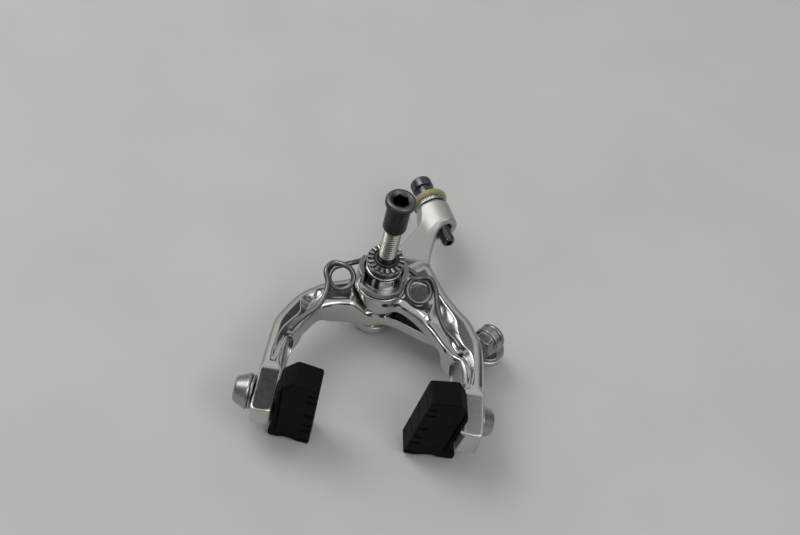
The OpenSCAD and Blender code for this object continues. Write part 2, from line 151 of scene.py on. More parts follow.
def nets(f, lo, hi, h, proj=3):
    """The surface f = 0 as a mesh of quads: one vertex for each cell that it crosses, then moved onto it."""
    lo = np.array(lo, float)
    n = np.ceil((np.array(hi, float) - lo) / h).astype(int) + 1
    ax = [lo[i] + h * np.arange(n[i]) for i in range(3)]
    V = np.empty(n, np.float64)
    X, Y = np.meshgrid(ax[0], ax[1], indexing="ij")
    xr, yr = X.ravel(), Y.ravel()
    for k, z in enumerate(ax[2]):
        V[:, :, k] = f(xr, yr, np.full(xr.size, z)).reshape(X.shape)
    ins = V < 0
    s = [slice(None, -1), slice(1, None)]
    count = np.zeros(tuple(n - 1), np.int8)
    for a in (0, 1):
        for b in (0, 1):
            for c in (0, 1):
                count += ins[s[a], s[b], s[c]]
    act = (count > 0) & (count < 8)
    ci = np.argwhere(act)
    idx = -np.ones(act.shape, np.int64)
    idx[act] = np.arange(len(ci))
    acc = np.zeros((len(ci), 3))
    cnt = np.zeros(len(ci))
    corners = [(a, b, c) for a in (0, 1) for b in (0, 1) for c in (0, 1)]
    for a in corners:
        for d in range(3):
            if a[d] == 1:
                continue
            b = list(a)
            b[d] = 1
            va = V[ci[:, 0] + a[0], ci[:, 1] + a[1], ci[:, 2] + a[2]]
            vb = V[ci[:, 0] + b[0], ci[:, 1] + b[1], ci[:, 2] + b[2]]
            m = (va < 0) != (vb < 0)
            t = va[m] / (va[m] - vb[m])
            p = np.tile(np.array(a, float), (m.sum(), 1))
            p[:, d] += t
            acc[m] += p
            cnt[m] += 1
    verts = lo + h * (ci + acc / cnt[:, None])
    faces = []
    for d in range(3):
        u, w = (d + 1) % 3, (d + 2) % 3
        sl0 = [slice(None)] * 3
        sl1 = [slice(None)] * 3
        sl0[d] = slice(None, -1)
        sl1[d] = slice(1, None)
        a, b = ins[tuple(sl0)], ins[tuple(sl1)]
        ch = np.argwhere(a != b)
        ok = (ch[:, u] > 0) & (ch[:, w] > 0) & (ch[:, u] < n[u] - 1) & (ch[:, w] < n[w] - 1)
        ch = ch[ok]
        out = a[ch[:, 0], ch[:, 1], ch[:, 2]]
        q = []
        for du, dw in ((-1, -1), (0, -1), (0, 0), (-1, 0)):
            c = ch.copy()
            c[:, u] += du
            c[:, w] += dw
            q.append(idx[c[:, 0], c[:, 1], c[:, 2]])
        q = np.stack(q, 1)
        q[~out] = q[~out][:, ::-1]
        faces.append(q)
    faces = np.concatenate(faces)
    e = 0.02
    for _ in range(proj):
        x, y, z = verts.T
        v0 = f(x, y, z)
        g = np.stack([f(x + e, y, z) - f(x - e, y, z), f(x, y + e, z) - f(x, y - e, z), f(x, y, z + e) - f(x, y, z - e)], 1) / (2 * e)
        gg = np.maximum((g * g).sum(1), 0.05)
        step = -(v0 / gg)[:, None] * g
        ln = np.linalg.norm(step, axis=1)
        lim = 0.5 * h
        step *= np.where(ln > lim, lim / np.maximum(ln, 1e-9), 1.0)[:, None]
        verts = verts + step
    return verts, faces


def mesh_obj(name, verts, faces, body, node=None, mat=None, smooth=True, sharp=None, attrs=None):
    me = bpy.data.meshes.new(name)
    v = np.asarray(verts, float) * MM
    if isinstance(faces, np.ndarray) and faces.ndim == 2:
        nf, k = faces.shape
        me.vertices.add(len(v))
        me.vertices.foreach_set("co", v.ravel())
        me.loops.add(nf * k)
        me.loops.foreach_set("vertex_index", faces.ravel().astype(np.int32))
        me.polygons.add(nf)
        me.polygons.foreach_set("loop_start", np.arange(0, nf * k, k, dtype=np.int32))
        me.update(calc_edges=True)
    else:
        me.from_pydata([tuple(p) for p in v], [], [tuple(int(i) for i in f) for f in faces])
    me.validate()
    me.polygons.foreach_set("use_smooth", [smooth] * len(me.polygons))
    if sharp:
        me.set_sharp_from_angle(angle=math.radians(sharp))
    for key, val in (attrs or {}).items():
        at = me.attributes.new(key, "FLOAT", "POINT")
        at.data.foreach_set("value", np.asarray(val, np.float32))
    me.update()
    ob = bpy.data.objects.new(name, me)
    bpy.context.scene.collection.objects.link(ob)
    if mat:
        me.materials.append(mat)
    if body:
        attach(ob, body)
    if node:
        for q in ([node] if isinstance(node, str) else node):
            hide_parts(q)
    return ob


def round_profile(pts, r, n=4):
    """Rounds the corners of an open profile of (radius, height) points. A third number in a point is its own radius."""
    out = [np.array(pts[0][:2], float)]
    for i in range(1, len(pts) - 1):
        p = np.array(pts[i][:2], float)
        rr = pts[i][2] if len(pts[i]) > 2 else r
        a = np.array(pts[i - 1][:2], float) - p
        b = np.array(pts[i + 1][:2], float) - p
        la, lb = np.linalg.norm(a), np.linalg.norm(b)
        t = min(rr, la * 0.45, lb * 0.45)
        if t < 1e-4:
            out.append(p)
            continue
        s, e = p + a / la * t, p + b / lb * t
        for k in range(n + 1):
            u = k / n
            out.append((1 - u) ** 2 * s + 2 * u * (1 - u) * p + u * u * e)
    out.append(np.array(pts[-1][:2], float))
    return out


def lathe(prof, seg=96, loop=False):
    """Turns a profile of (radius, height) into vertices and faces. A point on the axis becomes one vertex."""
    verts, faces, rows = [], [], []
    for r, z in prof:
        if r < 1e-6:
            rows.append([len(verts)])
            verts.append((0, 0, z))
        else:
            row = []
            for k in range(seg):
                a = 2 * math.pi * k / seg
                row.append(len(verts))
                verts.append((r * math.cos(a), r * math.sin(a), z))
            rows.append(row)
    if loop:
        rows.append(rows[0])
    for a, b in zip(rows[:-1], rows[1:]):
        for k in range(seg):
            k2 = (k + 1) % seg
            if len(a) == 1 and len(b) == 1:
                continue
            if len(a) == 1:
                faces.append((a[0], b[k2], b[k]))
            elif len(b) == 1:
                faces.append((a[k], a[k2], b[0]))
            else:
                faces.append((a[k], a[k2], b[k2], b[k]))
    return np.array(verts, float), faces


def thread(r0, r1, pitch, z0, z1, seg=72, fade=1.0, step=8):
    """A screw thread's skin: a tube whose radius goes between root r0 and crest r1, with flat ends at z0 and z1."""
    nz = max(4, int((z1 - z0) / pitch * step))
    zz = z0 + (z1 - z0) * np.arange(nz + 1) / nz
    verts, faces = [], []
    for z in zz:
        for k in range(seg):
            a = k / seg
            ph = (z / pitch - a) % 1.0
            tri = 1 - abs(2 * ph - 1)
            prof = min(1.0, max(0.0, (tri - 0.12) / 0.72))
            w = min(1.0, (z - z0) / fade + 0.001, (z1 - z) / fade + 0.001)
            r = r0 + (r1 - r0) * prof * max(0.0, w)
            verts.append((r * math.cos(2 * math.pi * a), r * math.sin(2 * math.pi * a), z))
    for i in range(nz):
        for k in range(seg):
            k2 = (k + 1) % seg
            faces.append((i * seg + k, i * seg + k2, (i + 1) * seg + k2, (i + 1) * seg + k))
    faces.append(tuple(range(seg))[::-1])
    faces.append(tuple(nz * seg + k for k in range(seg)))
    return np.array(verts, float), faces


def join_parts(parts):
    V, F, o = [], [], 0
    for v, f in parts:
        V.append(np.asarray(v, float))
        F += [tuple(int(i) + o for i in q) for q in f]
        o += len(v)
    return np.concatenate(V), F


def place(v, origin, az):
    """Local (x, y, z) with z along the axis, to the row frame, for an axis in the XY plane."""
    a = math.radians(az)
    lx, ly, lz = v[:, 0], v[:, 1], v[:, 2]
    X, Y, Z = lx, lz, -ly
    return np.stack([origin[0] + X * math.cos(a) - Y * math.sin(a), origin[1] + X * math.sin(a) + Y * math.cos(a), origin[2] + Z], 1)


def unplace(x, y, z, origin, az):
    a = math.radians(-az)
    qx, qy = x - origin[0], y - origin[1]
    return qx * math.cos(a) - qy * math.sin(a), -(z - origin[2]), qx * math.sin(a) + qy * math.cos(a)


def shoe_axes(side):
    a = math.radians(OPEN_A * side)
    t = math.radians(TOE if side > 0 else 0.0)
    rz = np.array([[math.cos(a), -math.sin(a), 0], [math.sin(a), math.cos(a), 0], [0, 0, 1]])
    ry = np.array([[math.cos(t), 0, math.sin(t)], [0, 1, 0], [-math.sin(t), 0, math.cos(t)]])
    return rz @ ry @ np.diag([-1.0 if side > 0 else 1.0, 1, 1])


AXES = {-1: shoe_axes(-1), 1: shoe_axes(1)}


def to_shoe(x, y, z, side):
    o = LEFT_IN if side < 0 else RIGHT_IN
    m = AXES[side]
    q = (x - o[0], y - o[1], z - Z_STUD)
    return tuple(m[0, i] * q[0] + m[1, i] * q[1] + m[2, i] * q[2] for i in range(3))


def from_shoe(v, side):
    o = LEFT_IN if side < 0 else RIGHT_IN
    return v @ AXES[side].T + np.array([o[0], o[1], Z_STUD])


def cyl(x, y, r):
    return np.sqrt(x * x + y * y) - r


def hexa(x, y, apothem, turn=0.0):
    d = None
    for k in range(3):
        a = math.radians(turn + 60 * k)
        v = np.abs(x * math.cos(a) + y * math.sin(a)) - apothem
        d = v if d is None else np.maximum(d, v)
    return d


# ---------------------------------------------------------------- materials
def new_mat(name):
    m = bpy.data.materials.new(name)
    m.use_nodes = True
    nt = m.node_tree
    for n in list(nt.nodes):
        nt.nodes.remove(n)
    out = nt.nodes.new("ShaderNodeOutputMaterial")
    b = nt.nodes.new("ShaderNodeBsdfPrincipled")
    nt.links.new(b.outputs["BSDF"], out.inputs["Surface"])
    tc = nt.nodes.new("ShaderNodeTexCoord")
    return m, nt, b, tc


def noise(nt, tc, scale, detail=4.0, rough=0.55, stretch=None):
    src = tc.outputs["Object"]
    if stretch:
        mp = nt.nodes.new("ShaderNodeMapping")
        mp.inputs["Scale"].default_value = stretch
        nt.links.new(src, mp.inputs["Vector"])
        src = mp.outputs["Vector"]
    t = nt.nodes.new("ShaderNodeTexNoise")
    t.inputs["Scale"].default_value = scale
    t.inputs["Detail"].default_value = detail
    t.inputs["Roughness"].default_value = rough
    nt.links.new(src, t.inputs["Vector"])
    return t.outputs["Fac"]


def ramp(nt, src, stops):
    r = nt.nodes.new("ShaderNodeValToRGB")
    cr = r.color_ramp
    while len(cr.elements) < len(stops):
        cr.elements.new(0.5)
    for el, (p, c) in zip(cr.elements, stops):
        el.position = p
        el.color = (c[0], c[1], c[2], 1) if isinstance(c, (tuple, list)) else (c, c, c, 1)
    nt.links.new(src, r.inputs["Fac"])
    return r.outputs["Color"]


def mixc(nt, fac, a, b, mode="MIX"):
    m = nt.nodes.new("ShaderNodeMix")
    m.data_type = "RGBA"
    m.blend_type = mode
    for sock, val in ((m.inputs[0], fac), (m.inputs[6], a), (m.inputs[7], b)):
        if isinstance(val, bpy.types.NodeSocket):
            nt.links.new(val, sock)
        elif isinstance(val, (tuple, list)):
            sock.default_value = (*val, 1) if len(val) == 3 else val
        else:
            sock.default_value = val
    return m.outputs[2]


def math_node(nt, op, a, b=None, c=None, clamp=False):
    m = nt.nodes.new("ShaderNodeMath")
    m.operation = op
    m.use_clamp = clamp
    for i, val in enumerate((a, b, c)):
        if val is None:
            continue
        if isinstance(val, bpy.types.NodeSocket):
            nt.links.new(val, m.inputs[i])
        else:
            m.inputs[i].default_value = val
    return m.outputs[0]


def attribute(nt, name):
    a = nt.nodes.new("ShaderNodeAttribute")
    a.attribute_name = name
    return a.outputs["Fac"]


def bump(nt, b, height, strength, dist):
    n = nt.nodes.new("ShaderNodeBump")
    n.inputs["Strength"].default_value = strength
    n.inputs["Distance"].default_value = dist
    nt.links.new(height, n.inputs["Height"])
    nt.links.new(n.outputs["Normal"], b.inputs["Normal"])
    return n


def darken(m, attr, color):
    """Mixes a dark tone into a metal where a vertex attribute says so: painted shade, painted dark reflections and a
    darker bolt foot.
    """
    nt = m.node_tree
    b = next(n for n in nt.nodes if n.bl_idname == "ShaderNodeBsdfPrincipled")
    src = b.inputs["Base Color"].links[0].from_socket
    nt.links.new(mixc(nt, attribute(nt, attr), src, color), b.inputs["Base Color"])
    return m


def metal(name, base, rough, vary=0.06, rvary=0.06, grain=0.0, grain_scale=2500, scratch=0.0, tint=None, tint_at=0.55, dents=0.0, attr=None, attr_color=None, attr_rough=None):
    """Metal with cloudy tone, uneven gloss, fine grain and hair scratches."""
    m, nt, b, tc = new_mat(name)
    b.inputs["Metallic"].default_value = 1.0
    cloud = noise(nt, tc, 160, 5.0, 0.6)
    lo = tuple(max(0.0, c * (1 - vary)) for c in base)
    hi = tuple(min(1.0, c * (1 + vary)) for c in base)
    col = ramp(nt, cloud, [(0.3, lo), (0.7, hi)])
    if tint:
        spots = noise(nt, tc, 420, 6.0, 0.65)
        mask = ramp(nt, spots, [(tint_at, 0.0), (min(1.0, tint_at + 0.14), 1.0)])
        col = mixc(nt, mask, col, tint)
    fine = noise(nt, tc, 900, 5.0, 0.7)
    ro = ramp(nt, fine, [(0.25, max(0.02, rough - rvary)), (0.75, rough + rvary)])
    if attr:
        a = attribute(nt, attr)
        if attr_color:
            col = mixc(nt, a, col, attr_color)
        if attr_rough is not None:
            ro = mixc(nt, a, ro, (attr_rough,) * 3)
    heights = None
    if grain > 0:
        g = noise(nt, tc, grain_scale, 3.0, 0.6)
        heights = math_node(nt, "MULTIPLY", g, grain)
    if scratch > 0:
        s1 = noise(nt, tc, 900, 2.0, 0.5, stretch=(0.05, 1.0, 0.6))
        s2 = noise(nt, tc, 800, 2.0, 0.5, stretch=(1.0, 0.07, 0.5))
        k = math_node(nt, "MAXIMUM", ramp(nt, s1, [(0.70, 0.0), (0.74, 1.0)]), ramp(nt, s2, [(0.70, 0.0), (0.74, 1.0)]))
        k = math_node(nt, "MULTIPLY", k, -scratch)
        heights = k if heights is None else math_node(nt, "ADD", heights, k)
    if dents > 0:
        v = noise(nt, tc, 260, 2.0, 0.5)
        v = math_node(nt, "MULTIPLY", ramp(nt, v, [(0.0, 0.0), (0.34, 0.0), (0.44, 1.0)]), dents)
        heights = v if heights is None else math_node(nt, "ADD", heights, v)
    nt.links.new(col, b.inputs["Base Color"])
    nt.links.new(ro, b.inputs["Roughness"])
    if heights is not None:
        bump(nt, b, heights, 0.35, 0.0001)
    return m


def rubber_mat(name, base, worn, rough=0.62, spec=0.35):
    m, nt, b, tc = new_mat(name)
    b.inputs["Metallic"].default_value = 0.0
    b.inputs["Specular IOR Level"].default_value = spec
    cloud = noise(nt, tc, 220, 6.0, 0.65)
    col = ramp(nt, cloud, [(0.3, tuple(c * 0.75 for c in base)), (0.75, tuple(c * 1.3 for c in base))])
    col2 = ramp(nt, cloud, [(0.3, tuple(c * 0.85 for c in worn)), (0.75, tuple(c * 1.15 for c in worn))])
    col = mixc(nt, attribute(nt, "wear"), col, col2)
    dust = noise(nt, tc, 1500, 3.0, 0.7)
    col = mixc(nt, ramp(nt, dust, [(0.7, 0.0), (0.84, 0.16)]), col, (0.10, 0.10, 0.095))
    nt.links.new(col, b.inputs["Base Color"])
    nt.links.new(ramp(nt, noise(nt, tc, 600, 4.0), [(0.3, rough - 0.08), (0.7, rough + 0.1)]), b.inputs["Roughness"])
    h = noise(nt, tc, 3200, 3.0, 0.6)
    bump(nt, b, h, 0.25, 0.00012)
    return m


# where the spring wires end on the arms; the dark spot painted round each is painted shade
SEATS = ((30.0, -24.4), (-29.3, -26.4))
ALLOY = metal("polished_alloy", (0.57, 0.564, 0.535), 0.17, vary=0.03, rvary=0.03, grain=0.012, scratch=0.02, attr="flat", attr_color=(0.50, 0.495, 0.475), attr_rough=0.52)
CHROME = metal("chrome", (0.74, 0.745, 0.75), 0.10, vary=0.05, rvary=0.04, scratch=0.15, tint=(0.33, 0.32, 0.30), tint_at=0.68)
BLOCK = metal("chrome_block", (0.62, 0.62, 0.61), 0.07, vary=0.04, rvary=0.03, scratch=0.15, attr="satin", attr_color=(0.34, 0.345, 0.34), attr_rough=0.34)
# painted shade: a dark spot on each arm round the spring wire's end
darken(ALLOY, "painted_darkening", (0.05, 0.05, 0.047))
# painted dark reflections in bands round the spring block's wall, and painted shade in its groove
darken(BLOCK, "painted_darkening", (0.035, 0.037, 0.037))
BOLT = metal("bolt_steel", (0.40, 0.39, 0.36), 0.30, vary=0.2, rvary=0.1, grain=0.3, tint=(0.22, 0.21, 0.19), tint_at=0.58)
# painted shade in the bolt's thread roots; the shank is also darker near its foot by the washer
darken(BOLT, "painted_darkening", (0.03, 0.029, 0.027))
SLEEVE = metal("sleeve_steel", (0.05, 0.053, 0.049), 0.45, vary=0.25, rvary=0.08, grain=0.35, grain_scale=1800, scratch=0.4, tint=(0.13, 0.13, 0.125), tint_at=0.62, attr="edge", attr_color=(0.16, 0.165, 0.155), attr_rough=0.40)
TOOTH = metal("washer_steel", (0.10, 0.10, 0.098), 0.40, vary=0.25, rvary=0.1, grain=0.3, tint=(0.06, 0.06, 0.056), tint_at=0.55, attr="edge", attr_color=(0.33, 0.33, 0.32), attr_rough=0.30)
SPRING = metal("spring_steel", (0.16, 0.163, 0.158), 0.33, vary=0.2, rvary=0.1, grain=0.25, scratch=0.3, tint=(0.11, 0.11, 0.105), tint_at=0.6)
SATIN = metal("satin_steel", (0.36, 0.37, 0.36), 0.30, vary=0.1, rvary=0.07, grain=0.2, scratch=0.25, tint=(0.22, 0.23, 0.225), tint_at=0.66)
ZINC = metal("zinc_steel", (0.30, 0.31, 0.31), 0.25, vary=0.12, rvary=0.08, grain=0.25, scratch=0.2, tint=(0.30, 0.30, 0.29), tint_at=0.6)
DARKNUT = metal("dark_chrome", (0.30, 0.31, 0.31), 0.16, vary=0.12, rvary=0.06, scratch=0.25, tint=(0.22, 0.22, 0.21), tint_at=0.62)
BARREL = metal("barrel_steel", (0.11, 0.114, 0.11), 0.3, vary=0.25, rvary=0.1, grain=0.3, scratch=0.3, tint=(0.08, 0.08, 0.076), tint_at=0.55)
BRASS = metal("washer_dull", (0.42, 0.42, 0.40), 0.35, vary=0.15, rvary=0.08, grain=0.2, tint=(0.2, 0.19, 0.17), tint_at=0.6)
RUBBER = rubber_mat("rubber", (0.0024, 0.0025, 0.0024), (0.010, 0.0105, 0.010), rough=0.66, spec=0.11)
HOLDER = rubber_mat("holder_black", (0.0018, 0.0018, 0.0018), (0.004, 0.004, 0.004), rough=0.6, spec=0.08)
ORING = rubber_mat("o_ring", (0.36, 0.335, 0.19), (0.30, 0.27, 0.145), rough=0.5, spec=0.4)

# --------------------------------------------------------------------- arms
REAR_LEG = Outline([(15.0, 13.2), (17.8, 12.2), (21.5, 6.2), (24.6, 0.8), (29.2, -5), (33, -9.2), (35.6, -14),
                    (37.4, -18.4), (38.1, -24.5), (38.4, -33), (38.5, -41), (38.5, -49), (38.4, -54.8), (37.9, -56.1),
                    (31.4, -56.1), (30.7, -55.0), (30.5, -50), (30.3, -41.6), (30.7, -35.5), (30.3, -30), (28.6, -26.6),
                    (24.2, -23.2), (20.5, -18.8), (16.6, -14.4), (12, -10.4), (7.4, -8), (0, -8.6), (-4, 0), (0, 8.6), (9, 9)])
REAR_BLADE = Outline([(1, 4), (4, 14), (5.7, 19.4), (7.5, 22.6), (9.2, 25.6), (10.8, 28.7), (12.4, 32.2), (12.8, 36), (13.2, 40), (17, 41.2),
                      (20.9, 34.5), (20.0, 32), (19.3, 29), (18.8, 26.5), (18.1, 22), (17.6, 18), (17.4, 13), (17.5, 10), (14, 3), (6, 0)])
REAR_POCKET = Outline([(19.6, 0.2), (23.1, -4.5), (27.6, -11.2), (28.7, -16.9), (30.2, -20.8), (33.1, -24), (34.6, -29.3), (34.3, -35.0), (33.2, -38.8), (32.2, -37),
                       (31.9, -31), (30.2, -27.1), (27.0, -25.2), (24.0, -22.3), (19.8, -16.9), (16.4, -12.6), (18.6, -9), (19.4, -5)])
FRONT_LEG = Outline([(0, 8.4), (-8, 5), (-10.5, 2.4), (-18, -0.8), (-22, -3.4), (-27.2, -8), (-31.4, -14.5),
                     (-34.2, -20.6), (-34.9, -25.6), (-35.5, -31.8), (-36.0, -37), (-36.5, -45), (-37.1, -54), (-37.1, -56.6), (-36.2, -57.75),
                     (-31.2, -57.7), (-30.2, -56.6), (-29.5, -50), (-29.0, -42), (-28.8, -37.6), (-28.5, -31.6),
                     (-27.4, -27.2), (-25.0, -22.6), (-22.3, -17.8), (-19, -13.2), (-14, -10.6), (-8, -9.8), (0, -9.2), (5, 0)])
FRONT_POCKET = Outline([(-19.4, -5.4), (-22, -6.3), (-24.6, -7.5), (-26.4, -9.6), (-26.3, -13), (-26.0, -16.4), (-28.6, -20.6), (-30.9, -24.5), (-32.4, -29.5), (-33.2, -34.8), (-32.6, -38.4),
                        (-31.0, -36), (-30.0, -31.5), (-28.9, -27.6), (-26.4, -24.4), (-23.6, -18.8), (-21.0, -14.2), (-18.6, -10.6), (-17.9, -7)])
FRONT_CROSS = Outline([(0, -9.1), (4, -9.2), (8, -10), (13, -12), (19, -14.4), (26, -16.4), (33, -17.2), (40, -17.2), (44, -15.5),
                       (45.5, -10.7), (43, -5.2), (38.5, -5.2), (35, -6.4), (30, -5.6), (22, -2), (14, 3.2), (7, 7.6), (0, 9), (-5, 0)])
FRONT_HOLLOW = Outline([(2.6, -8.4), (8, -9.2), (13, -11.2), (19, -13.6), (25, -15.4), (26, -7), (16, -1.6), (9.6, 0.4)], steps=1)


def scoop(d, width, depth):
    """Depth of a hollow at signed distance d from its rim, with a round bottom and a soft rim."""
    t = np.clip(-d / width, 0, 1)
    return depth * (0.55 * (1 - (1 - t) ** 2) + 0.45 * t * t * (3 - 2 * t))


def stud_slot(w, q):
    return np.sqrt(np.maximum(np.abs(w) - 2.0, 0) ** 2 + q * q) - 3.15


def rear_arm_f(x, y, z):
    low = sstep(-36.5, -41.0, y)
    # below the knee the inner wall leans in towards the front
    lean = sstep(-21.5, -26.0, y) * (1 - sstep(-39.0, -44.0, y))
    d = REAR_LEG(x + 0.24 * np.clip(-14.0 - z, 0, 8.5) * lean * sstep(36.5, 32.0, x), y)
    crown = 1.9 * (1 - low) + 0.15 * low
    wide = 3.8 * (1 - low) + 0.6 * low
    s = np.clip(1 + REAR_LEG(x, y) / wide, 0, 1)
    zt = -13.5 - crown * s * s - 0.5 * low
    wid = 3.4 + 2.0 * sstep(-24, -8, y)
    zt = zt - scoop(REAR_POCKET(x, y), wid, 2.3 * (1 - 0.55 * sstep(-25, -37, y)))
    # round dish under the coil
    rr = np.sqrt((x - 14.0) ** 2 + (y + 1.3) ** 2)
    zt = zt - 0.45 * sstep(5.0, 4.0, rr) + 0.2 * np.exp(-((rr - 5.2) / 0.8) ** 2)
    zb = np.where(y < -21.5, -19.5 - 6 * sstep(-21.5, -26.5, y), -19.5)
    k = 1.0 - 0.5 * low
    leg = smax(smax(d, z - zt, k), zb - z, 1.2)
    u, w, q = to_shoe(x, y, z, 1)
    # flat that the shoe sits against, with a round upper end
    tongue = np.minimum(np.sqrt((w - 15.0) ** 2 + (q - 0.9) ** 2) - 5.5, np.maximum(w - 15.0, -q - 4.6))
    leg = smax(leg, -np.maximum(np.maximum(tongue, 0.02 - u), q - 4.6 - 20 * (1 - low)), 0.3)
    leg = smax(leg, -np.maximum(np.maximum(w - 8.0, 0.02 - u), q - 4.6), 0.3)
    boss = smax(cyl(x, y, 9.0), np.abs(z + 16.0) - 3.5, 0.5)
    arm = smax(smin(leg, boss, 1.8), z + 12.5, 0.3)
    lx, ly, lz = unplace(x, y, z, ADJ_P, ADJ_A)
    db = REAR_BLADE(x, y)
    blade = smax(db, np.maximum(z + 14.85, -21.45 - z), 1.3)
    arm = smin(arm, blade, 1.6)
    R = 5.8 + 0.3 * (lz - 6.6) / 9.8
    adj = smax(cyl(lx, ly, 0) - R, np.abs(lz - 11.5) - 4.9, 0.9)
    arm = smin(arm, adj, 4.0)
    # nothing of the blend stands out past the boss's end faces
    arm = smax(arm, np.where(cyl(lx, ly, 0) < 12, lz - 16.4, -9.0), 0.3)
    arm = smax(arm, np.where(lz > -4, -cyl(lx, ly, 2.8), -9.0), 0.2)
    arm = smax(arm, -smax(cyl(lx, ly, 3.45), lz - 10.0, 0.2), 0.25)
    arm = smax(arm, -cyl(x, y, 3.56), 0.15)
    arm = smax(arm, -smax(cyl(x - ANCH[0], y - ANCH[1], 8.8), z + 15.8, 0.8), 0.8)
    arm = smax(arm, -np.maximum(stud_slot(w, q), np.abs(u + 5.5) - 8.0), 0.2)
    # seat for the shoe's nut on the outside
    arm = smax(arm, -np.maximum(np.maximum(np.sqrt(w * w + q * q) - 5.9, u + T_RIGHT), z + 14.7), 0.2)
    return arm


def front_arm_f(x, y, z):
    low = sstep(-37.5, -42, y)
    lean = sstep(-20.0, -25.0, y) * (1 - sstep(-39.0, -44.0, y))
    d = FRONT_LEG(x - 0.15 * np.clip(-15.9 - z, 0, 7.0) * lean * sstep(-34.0, -30.5, x), y)
    crown = 1.1 * (1 - low) + 0.12 * low
    wide = 3.0 * (1 - low) + 0.6 * low
    s = np.clip(1 + FRONT_LEG(x, y) / wide, 0, 1)
    zt = -15.5 - crown * s * s - 0.4 * low
    wid = 3.4 + 1.6 * sstep(-24, -10, y)
    zt = zt - scoop(FRONT_POCKET(x, y), wid, 2.3 * (1 - 0.55 * sstep(-25, -37, y)))
    # goes down round the rear arm's boss to the crossing part
    zt = zt - 4.5 * sstep(-9.5, -1.0, x)
    zb = -24.3 - 2.7 * sstep(-19.5, -14.0, x)
    leg = smax(smax(d, z - zt, 1.0 - 0.5 * low), zb - z, 1.2)
    # cleared round the rear arm's boss, above the front boss
    leg = smax(leg, -np.maximum(cyl(x, y, 9.7), -(z + 20.0)), 0.5)
    u, w, q = to_shoe(x, y, z, -1)
    tongue = np.minimum(np.sqrt((w - 19.0) ** 2 + (q - 0.8) ** 2) - 4.4, np.maximum(w - 19.0, -q - 3.6))
    plane = x + 28.75 - 0.07 * np.clip(-15.5 - z, 0, 9) * sstep(-42.0, -37.5, y)
    leg = smax(leg, -np.maximum(tongue, -plane), 0.3)
    leg = smax(leg, -np.maximum(w - 7.5, 0.02 - u), 0.3)
    boss = smax(cyl(x, y, 9.0), np.abs(z + 23.5) - 3.5, 0.6)
    arm = smin(leg, boss, 1.0)
    dc = FRONT_CROSS(x, y)
    s2 = np.clip(1 + dc / 3.4, 0, 1)
    cross = smax(dc, z + 20.4 + 0.8 * s2 * s2, 0.8)
    zb2 = -26.0 - 4.0 * sstep(27.5, 31.0, x)
    cross = smax(cross, zb2 - z, 1.2)
    hollow = np.maximum(np.maximum(FRONT_HOLLOW(x, y), -cyl(x, y, 9.3)), -25.0 - z)
    cross = smax(cross, -hollow, 0.6)
    arm = smin(arm, cross, 0.8)
    eye = smax(cyl(x - ANCH[0], y - ANCH[1], 6.5), np.abs(z + 28.8) - 1.2, 0.4)
    arm = smax(arm, -smax(cyl(x - ANCH[0], y - ANCH[1], 8.8), -(z + 27.6), 0.3), 0.3)
    arm = smin(arm, eye, 0.4)
    arm = smax(arm, -cyl(x - ANCH[0], y - ANCH[1], 2.55), 0.15)
    arm = smax(arm, -cyl(x, y, 3.56), 0.15)
    arm = smax(arm, -np.maximum(stud_slot(w, q), np.abs(u + 5.5) - 8.0), 0.2)
    arm = smax(arm, -np.maximum(np.sqrt(w * w + q * q) - 6.5, u + T_LEFT), 0.2)
    return arm


HA = 0.33
v, f = nets(rear_arm_f, (-10, -57.2, -26.4), (39.6, 46.5, -12.0), HA)
u_, w_, q_ = to_shoe(v[:, 0], v[:, 1], v[:, 2], 1)
# the dark spot round the spring wire's end on this arm is painted shade
mesh_obj("rear_arm_shell", v, f, "rear_arm_body", "rear_arm", ALLOY, attrs={"flat": np.maximum(((np.abs(u_) < 0.3) & (v[:, 1] < -24)) * 1.0, sstep(12.5, 15.5, v[:, 1])), "painted_darkening": sstep(1.3, 0.7, np.hypot(v[:, 0] - SEATS[0][0], v[:, 1] - SEATS[0][1])) * (v[:, 2] > -17)})
v, f = nets(front_arm_f, (-38.4, -59.4, -31.0), (49.2, 10.6, -14.6), HA)
flat = np.abs(v[:, 0] + 28.75 - 0.07 * np.clip(-15.5 - v[:, 2], 0, 9)) < 0.3
# the dark spot round the spring wire's end on this arm is painted shade
mesh_obj("front_arm_shell", v, f, "front_arm_body", "front_arm", ALLOY, attrs={"flat": (flat & (v[:, 1] < -24) & (v[:, 1] > -40) & (v[:, 2] < -16.5)) * 1.0, "painted_darkening": sstep(1.3, 0.7, np.hypot(v[:, 0] - SEATS[1][0], v[:, 1] - SEATS[1][1])) * (v[:, 2] > -19)})


# ------------------------------------------------------------- pivot pieces
def washer(name, z1, z2, ro, ri, body, node, mat, r=0.12):
    prof = round_profile([(ri, (z1 + z2) / 2), (ri, z1), (ro, z1), (ro, z2), (ri, z2), (ri, (z1 + z2) / 2 + 0.001)], r)
    v, f = lathe(prof, 96)
    return mesh_obj(name, v, f, body, node, mat, sharp=50)


washer("rear_washer_ring", -12.45, -12.05, 7.5, 3.55, "bolt", "rear_washer", BRASS)
washer("mid_washer_ring", -19.95, -19.55, 7.5, 3.55, "bolt", "mid_washer", BRASS)
washer("front_washer_ring", -27.85, -27.05, 7.0, 3.55, "bolt", "front_washer", CHROME, 0.2)

tv, tf = thread(2.3, 3.0, 1.0, -4.5, 22.6, 72, 0.8, 10)
cap, cf = lathe(round_profile([(2.45, 22.4), (2.9, 22.4), (2.4, 22.98), (0, 23.0)], 0.15), 72)
sh, sf = lathe(round_profile([(0, -4.42), (3.5, -4.42), (3.5, -28.6), (3.0, -28.6), (3.0, -35.0), (0, -35.0)][::-1], 0.12), 96)
v, f = join_parts([(tv, tf), (cap, cf), (sh, sf)])
